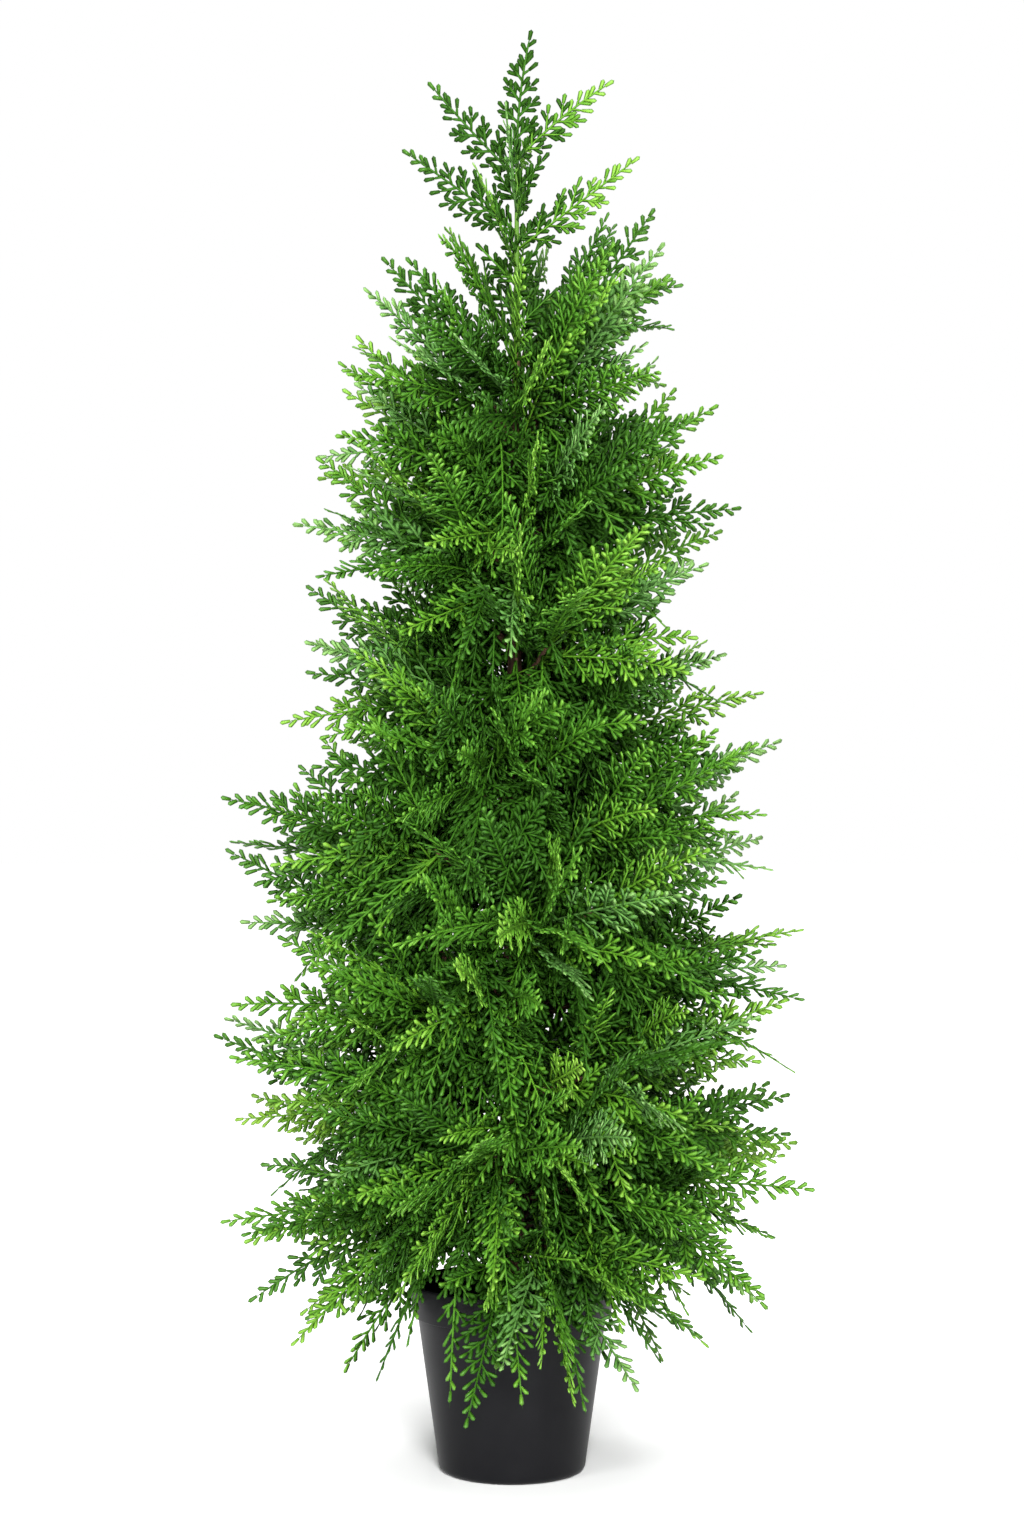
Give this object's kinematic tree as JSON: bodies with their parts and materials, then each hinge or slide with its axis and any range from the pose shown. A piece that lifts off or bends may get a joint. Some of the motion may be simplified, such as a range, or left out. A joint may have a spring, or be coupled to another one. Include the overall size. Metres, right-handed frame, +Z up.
{
  "type": "artificial potted cypress",
  "caption": "Slender conical artificial cypress with flat feathery sprays on a straight brown trunk, standing in a plain round black plastic pot.",
  "frame": {"origin": "centre of the pot's flat underside", "axes": "+Z up along the trunk, -Y towards the front of the plant, +X to the right seen from the front"},
  "size_m": [0.5006, 0.5107, 1.2],
  "materials": {
    "pot": "smooth satin black plastic, a little lighter along the rim's edge",
    "soil": "rough dark brown filler with loose crumbs",
    "bark": "matt brown bark with fine ridges along it",
    "foliage": "soft moulded sprays in mixed greens with lighter tips, slightly waxy"
  },
  "bodies": {
    "root": {"pot": "pot", "soil": "soil", "trunk": "bark", "bough_01": "bark", "bough_02": "bark", "bough_03": "bark", "bough_04": "bark", "bough_05": "bark", "bough_06": "bark", "bough_07": "bark", "bough_08": "bark", "bough_09": "bark", "bough_10": "bark", "bough_11": "bark", "bough_12": "bark", "bough_13": "bark", "bough_14": "bark", "bough_15": "bark", "bough_16": "bark", "bough_17": "bark", "bough_18": "bark", "bough_19": "bark", "bough_20": "bark", "bough_21": "bark", "bough_22": "bark", "bough_23": "bark", "bough_24": "bark", "bough_25": "bark", "bough_26": "bark", "bough_27": "bark", "bough_28": "bark", "foliage_01": "foliage", "foliage_02": "foliage", "foliage_03": "foliage", "foliage_04": "foliage", "foliage_05": "foliage", "foliage_06": "foliage", "foliage_07": "foliage", "foliage_08": "foliage", "foliage_09": "foliage", "foliage_10": "foliage", "foliage_11": "foliage", "foliage_12": "foliage", "foliage_13": "foliage", "foliage_14": "foliage", "foliage_15": "foliage", "foliage_16": "foliage", "foliage_17": "foliage", "foliage_18": "foliage", "foliage_19": "foliage", "foliage_20": "foliage", "foliage_21": "foliage", "foliage_22": "foliage", "foliage_23": "foliage", "foliage_24": "foliage", "foliage_25": "foliage", "foliage_26": "foliage", "foliage_27": "foliage", "foliage_28": "foliage", "foliage_leader": "foliage"}
  },
  "joints": []
}
